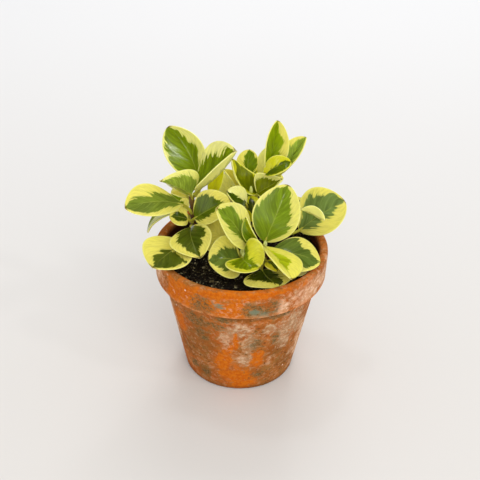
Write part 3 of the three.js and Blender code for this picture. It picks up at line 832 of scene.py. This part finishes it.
def lathe(outline, sides):
    """A turned body from a closed outline of radius and height."""
    verts = [(radius * x, radius * y, z) for x, y in circle(1, sides) for radius, z in outline]
    faces, count = [], len(outline)
    for i in range(sides):
        a, b = i * count, (i + 1) % sides * count
        for j in range(count):
            k = (j + 1) % count
            faces.append((a + j, b + j, b + k, a + k))
    return verts, faces


def uneven(x, y, z):
    """A point of the turned pot, moved by its dents and by the fine rings of the turning."""
    radius = math.hypot(x, y)
    place = Vector((x, y, z))
    dents = (0.22 * noise.noise(place * 0.03) + 0.07 * noise.noise(place * 0.16)
             + 0.05 * noise.noise(place * 0.5))
    if z < 0.5 or radius < DRAIN_RADIUS + 2:
        dents = 0
    rings = 0.035 * math.sin(z * 1.9) + 0.03 * math.sin(z * 0.83 + 1)
    scale = (radius + dents + rings - CLAY_SINK) / radius
    return x * scale, y * scale, z


def patches(kind, angle, height):
    """How deep inside the patches of one kind each point lies: 1 at a centre, 0 at an edge."""
    places = list(WEATHER_AND_LIP_HIGHLIGHT[kind])
    draw = np.random.default_rng(list(WEATHER_AND_LIP_HIGHLIGHT).index(kind) + FAR_SIDE_SEED)
    reach = FAR_SIDE_REACH.get(kind, 1)
    for _ in range(FAR_SIDE_PATCHES):
        at, z, wide, tall = (draw.uniform(*span) for span in FAR_SIDE_RANGES)
        places.append((at, z, reach * wide, reach * tall))
    depth = np.full(len(angle), BARE)
    for at, z, wide, tall in places:
        off = (angle - at + 180) % 360 - 180
        depth = np.maximum(depth, 1 - np.hypot(off / wide, (height - z) / tall))
    return depth


def clay_material():
    n = Nodes("clay")
    place = n.place()
    flat = n.node("Mapping", {"Vector": place, "Scale": (1.0, 1.0, 1.3)}).outputs[0]
    # noise from fine to wide
    fine = n.noise(place, 1100, 4.0, 0.65)
    grain = n.noise(place, 420, 5.0, 0.7)
    streaks = n.noise(flat, 310, 6.0, 0.7, 0.4)
    scratch = n.noise(flat, 230, 7.0, 0.75, 0.25)
    spots = n.noise(place, 150, 6.0, 0.75)
    cloud = n.noise(flat, 75, 7.0, 0.7, 0.2)
    few = n.noise(place, 33, 1.0)
    wide = n.noise(place, 17, 4.0, 0.55)
    ragged = n.add(n.times(cloud, 0.5), n.times(scratch, 0.5))
    speck = n.node("TexVoronoi", {"Scale": 95.0, "Vector": place}).outputs["Distance"]

    def patch(kind, edge, spread, high, low=-0.1):
        """The patches of one kind, their edges broken by noise."""
        return n.smooth(n.add(n.layer(kind), n.swing(edge, spread)), low, high)

    # from the bare clay outwards: each coat's cover, its colour, and its share
    colour = n.tones(cloud, 0.4, 0.6, "clay")
    for cover, coat, share in (
        # stains, and a thin pale veil
        (n.smooth(wide, 0.42, 0.6), "umber", 0.5),
        (n.smooth(grain, 0.52, 0.66), "dusky", 0.5),
        (patch("brown", cloud, 3.0, 0.6), "brown", 0.7),
        (n.smooth(spots, 0.5, 0.6), "tarnish", 0.4),
        (n.smooth(scratch, 0.5, 0.6), "veil", 0.42),
        (n.times(n.smooth(streaks, 0.55, 0.62), n.smooth(wide, 0.36, 0.56, 0.25, 0.8)), "fleck", 1),
        # lime bloom, and the greyer bloom
        (n.times(patch("lime", cloud, 3.2, 0.7), n.smooth(streaks, 0.38, 0.54, 0.5, 1.0)),
         n.tones(scratch, 0.44, 0.6, "lime"), 0.95),
        (n.times(patch("grey", ragged, 3.4, 0.7), n.smooth(streaks, 0.4, 0.56, 0.45, 1.0)),
         n.tones(scratch, 0.44, 0.6, "stone"), 0.9),
        # clean bright clay, with scuffs, partly a painted highlight along the front of the lip; and
        # the rubbed places
        (n.times(patch("clean_and_lip_highlight", cloud, 2.4, 0.4), n.smooth(scratch, 0.54, 0.62, 1.0, 0.45)),
         n.tones(grain, 0.38, 0.62, "bright"), 1),
        (n.times(n.smooth(streaks, 0.5, 0.6), patch("rubbed", scratch, 3.0, 0.5)), "rubbed", 0.7),
        # moss and algae, and a few pale specks
        (n.times(patch("moss", ragged, 4.4, 0.5), n.smooth(streaks, 0.42, 0.56, 0.3, 1.0)),
         n.tones(fine, 0.42, 0.58, "moss"), 0.85),
        (patch("teal", ragged, 4.0, 0.6, low=0.0), "teal", 0.85),
        (n.times(n.smooth(speck, 0.1, 0.05), n.smooth(few, 0.6, 0.63)), "speck", 1),
        # the worn foot of the band; painted shade in the corner under the band, and darker towards
        # the foot of the pot
        (n.times(n.layer("worn"), n.smooth(scratch, 0.42, 0.58, 0.1, 0.9)), "worn", 1),
        (n.times(n.layer("band_shade_and_dark_foot"), n.smooth(scratch, 0.3, 0.5, 0.5, 0.95)), "band_shade_and_dark_foot", 1),
        # painted shade over the inside of the pot
        (n.layer("inner"), n.tones(cloud, 0.38, 0.62, "painted_inside_shade"), 1),
    ):
        colour = n.over(colour, cover, coat, share)
    height = n.add(n.times(grain, 0.8), n.add(n.times(fine, 0.4), scratch))
    return n.finish({
        "Base Color": colour,
        "Roughness": n.add(0.78, n.times(grain, 0.18)),
        "Normal": n.bump(height, 0.0006, 0.6),
        "Specular IOR Level": 0.12,
    })


def pot_piece():
    band_foot = POT_HEIGHT - BAND_HEIGHT
    outline = rounded([
        (DRAIN_RADIUS, 0, DRAIN_ROUND),
        (FOOT_RADIUS, 0, FOOT_ROUND),
        (NECK_RADIUS, band_foot, NECK_ROUND),
        (BAND_FOOT_RADIUS, band_foot, BAND_ROUND),
        (RIM_RADIUS, POT_HEIGHT, LIP_ROUND),
        (RIM_RADIUS - WALL, POT_HEIGHT, LIP_ROUND),
        (inner_radius(FLOOR), FLOOR, FLOOR_ROUND),
        (DRAIN_RADIUS, FLOOR, DRAIN_ROUND),
    ])
    verts, faces = lathe(outline, POT_SIDES)
    verts = [uneven(*v) for v in verts]
    piece = make_piece("pot_body", verts, faces, clay_material(), ["pot"])
    x, y, z = np.array(verts).T
    radius = np.hypot(x, y)
    angle = np.degrees(np.arctan2(x, -y))
    middle = inner_radius(z) + WALL / 2
    below_lip = np.clip((POT_HEIGHT - 1 - z) / 3, 0, 1)
    band = np.clip((radius - NECK_RADIUS - 2) / 2, 0, 1)
    # painted shade in the corner under the band
    under_band = np.exp(-((z - band_foot + 1.0) / 2.2) ** 2) * (1 - band)
    layers = {kind: patches(kind, angle, z) for kind in WEATHER_AND_LIP_HIGHLIGHT}
    # the inner half of the lip has no lime
    inner_lip = np.clip((RIM_RADIUS - 1.5 - radius) / 1.5, 0, 1) * (z > POT_HEIGHT - 6)
    layers["lime"] += BARE * inner_lip
    # painted shade over the inside of the pot, from 1 mm below the lip down
    layers["inner"] = np.clip((middle - radius) / 2 + 0.3, 0, 1) * below_lip
    layers["worn"] = np.exp(-((z - band_foot - 1.2) / 1.0) ** 2) * band
    # painted shade under the band, and darker towards the foot of the pot
    layers["band_shade_and_dark_foot"] = under_band + 0.6 * np.exp(-(z / 4.0) ** 2)
    keep_values(piece, layers)


# Soil

def soil_height(x, y):
    place = Vector((x, y, 0.0))
    lumps = 1.1 * noise.noise(place * 0.09) + 0.9 * noise.noise(place * 0.24 + Vector((9, 3, 1)))
    crumbs = 0.5 * noise.noise(place * 0.62) + 0.25 * noise.noise(place * 1.4)
    return SOIL_TOP - 0.3 + lumps + crumbs


def soil_material():
    n = Nodes("soil")
    place = n.place()
    crumbs = n.noise(place, 700, 5.0, 0.7)
    specks = n.noise(place, 560, 3.0, 0.6)
    lumps = n.noise(place, 160, 4.0, 0.6)
    colour = n.tones(crumbs, 0.35, 0.7, "soil")
    colour = n.over(colour, n.smooth(lumps, 0.55, 0.7), "soil_lump", 0.5)
    grit = n.times(n.smooth(specks, 0.58, 0.65), n.smooth(lumps, 0.42, 0.56, 0.1, 0.85))
    return n.finish({
        "Base Color": n.over(colour, grit, "grit"),
        "Specular IOR Level": 0.2,
        "Roughness": 0.95,
        "Normal": n.bump(crumbs, 0.0012, 0.9),
    })


def soil_piece(material):
    """The lumpy bed: a middle point, rings out to the edge and down the side, and a point below."""
    sides = SOIL_SIDES
    bottom = FLOOR + SOIL_GAP
    edge = inner_radius(SOIL_TOP) - SOIL_GAP
    verts = [(0, 0, soil_height(0, 0))]
    for ring in range(1, SOIL_RINGS + 1):
        verts += [(x, y, soil_height(x, y)) for x, y in circle(edge * ring / SOIL_RINGS, sides)]
    start = SOIL_TOP - SOIL_SIDE_DROP
    for k in range(1, SOIL_SIDE_RINGS + 1):
        z = start + (bottom - start) * k / SOIL_SIDE_RINGS
        verts += [(x, y, z) for x, y in circle(inner_radius(z) - SOIL_GAP, sides)]
    faces = [(0, 1 + i, 1 + (i + 1) % sides) for i in range(sides)]
    faces += sleeve(1, SOIL_RINGS + SOIL_SIDE_RINGS, sides, inward=True)
    last = len(verts)
    faces += [(last - sides + (i + 1) % sides, last - sides + i, last) for i in range(sides)]
    make_piece("soil_bed", verts + [(0, 0, bottom)], faces, material, ["soil"])


def grains(name, material, count, sizes, seed, squash, rise, slim=(0.6, 1)):
    """Crumbs strewn over the soil, in one piece. Sizes are in mm, the rest in shares of a size."""
    draw = np.random.default_rng(seed)
    ball = bmesh.new()
    bmesh.ops.create_icosphere(ball, subdivisions=2, radius=1)
    base = np.array([v.co[:] for v in ball.verts])
    tris = [tuple(v.index for v in f.verts) for f in ball.faces]
    ball.free()
    edge = inner_radius(SOIL_TOP) - SOIL_GAP - 1
    verts, faces = [], []
    for _ in range(count):
        size = draw.uniform(*sizes) * draw.uniform(0.8, 1.2) / 2
        radius = (edge - size) * math.sqrt(draw.uniform(0, 1))
        angle = draw.uniform(0, 2 * math.pi)
        x, y = radius * math.cos(angle), radius * math.sin(angle)
        shape = base * (1, draw.uniform(*slim), draw.uniform(*squash))
        apart = Vector((angle * 7, size, radius))
        lumps = np.array([noise.noise(Vector(v) * 1.9 + apart) for v in base])
        shape = shape * (1 + 0.35 * lumps)[:, None] * size
        turn = Matrix.Rotation(draw.uniform(0, 6.28), 3, "Z")
        turn = turn @ Matrix.Rotation(draw.uniform(-0.6, 0.6), 3, "X")
        shape = shape @ np.array(turn).T + (x, y, soil_height(x, y) + size * rise)
        first = len(verts)
        verts += list(shape)
        faces += [tuple(first + i for i in f) for f in tris]
    make_piece(name, verts, faces, material, ["soil"])


def perlite_material():
    n = Nodes("perlite")
    place = n.place()
    pits = n.noise(place, 1400, 4.0, 0.6)
    colour = n.tones(n.noise(place, 90, 1.0), 0.45, 0.6, "perlite")
    return n.finish({
        "Base Color": n.over(colour, n.smooth(pits, 0.5, 0.7), "perlite_pit", 0.6),
        "Roughness": 0.9,
        "Normal": n.bump(pits, 0.0005, 0.8),
    })


def bark_material():
    n = Nodes("bark")
    place = n.place()
    fibre = n.noise(place, 900, 4.0, 0.6)
    colour = n.tones(n.noise(place, 120, 1.0), 0.42, 0.6, "bark")
    return n.finish({
        "Base Color": n.over(colour, n.smooth(fibre, 0.45, 0.65), "bark_crack"),
        "Roughness": 0.8,
        "Normal": n.bump(fibre, 0.0005, 0.8),
    })


# Camera, floor and light

def turned(degrees, axis):
    return Matrix.Rotation(math.radians(degrees), 4, axis)


def camera():
    data = bpy.data.cameras.new("camera")
    data.sensor_width = SENSOR
    data.lens = FOCAL_PIXELS * SENSOR / FRAME_PIXELS
    data.clip_start, data.clip_end = 0.01, 20
    eye = new_object("camera", data)
    elevation, distance = math.radians(CAMERA_ELEVATION), CAMERA_DISTANCE
    place = (0, -distance * math.cos(elevation), TARGET_HEIGHT + distance * math.sin(elevation))
    turn = turned(CAMERA_YAW, "Z") @ turned(90 - CAMERA_PITCH, "X")
    eye.matrix_world = Matrix.Translation(place) @ turn @ turned(CAMERA_ROLL, "Z")
    bpy.context.scene.camera = eye


def floor():
    """A plain pale floor with painted light falloff: warmer and darker near the camera, a little
    paler towards its far side.
    """
    n = Nodes("floor")
    away = n.node("SeparateXYZ", {0: n.place()}).outputs["Y"]
    material = n.finish({
        "Base Color": n.tones(away, -0.3, 1.1, "floor"),
        "Roughness": 0.7,
        "Specular IOR Level": 0.2,
    })
    verts = [(-6, -4, 0), (6, -4, 0), (6, 8, 0), (-6, 8, 0)]
    piece = mesh_object("floor", verts, [(0, 1, 2, 3)], material)


def lamp(name, place, target, size, power, colour, glossy):
    data = bpy.data.lights.new(name, "AREA")
    data.shape = "DISK"
    data.size = size
    data.energy = power
    data.color = colour
    made = new_object(name, data)
    made.visible_glossy = glossy
    made.visible_camera = False
    made.location = place
    aim = Vector(target) - Vector(place)
    made.rotation_euler = aim.to_track_quat("-Z", "Y").to_euler()


def light():
    scene = bpy.context.scene
    scene.view_settings.view_transform = "Standard"
    world = bpy.data.worlds.new("studio")
    world.use_nodes = True
    back = world.node_tree.nodes["Background"]
    back.inputs["Color"].default_value = WORLD_COLOUR
    back.inputs["Strength"].default_value = WORLD_STRENGTH
    world.cycles_visibility.glossy = False
    scene.world = world
    for settings in LAMPS:
        lamp(*settings)


camera()
floor()
light()
pot_piece()
earth = soil_material()
soil_piece(earth)
grains("soil_crumbs", earth, 900, (1.0, 3.2), seed=5, squash=(0.5, 0.9), rise=0.1)
grains("soil_perlite", perlite_material(), 240, (0.8, 2.7), seed=11, squash=(0.4, 0.8), rise=0.2)
grains("soil_bark", bark_material(), 420, (1.6, 5.0), seed=23, squash=(0.12, 0.2), rise=0.15,
       slim=(0.14, 0.34))
stalks = stem_material()
seed = 0
for node, shoot in SHOOTS.items():
    short = node.replace("shoot_", "")
    stem_piece("stem_" + short, shoot, node, stalks, seed + 3)
    for number, (leaf, paint) in enumerate(zip(shoot.leaves, PAINT[node]), 1):
        seed += 1
        leaf_piece(f"leaf_{short}_{number:02d}", leaf, paint, node, seed)
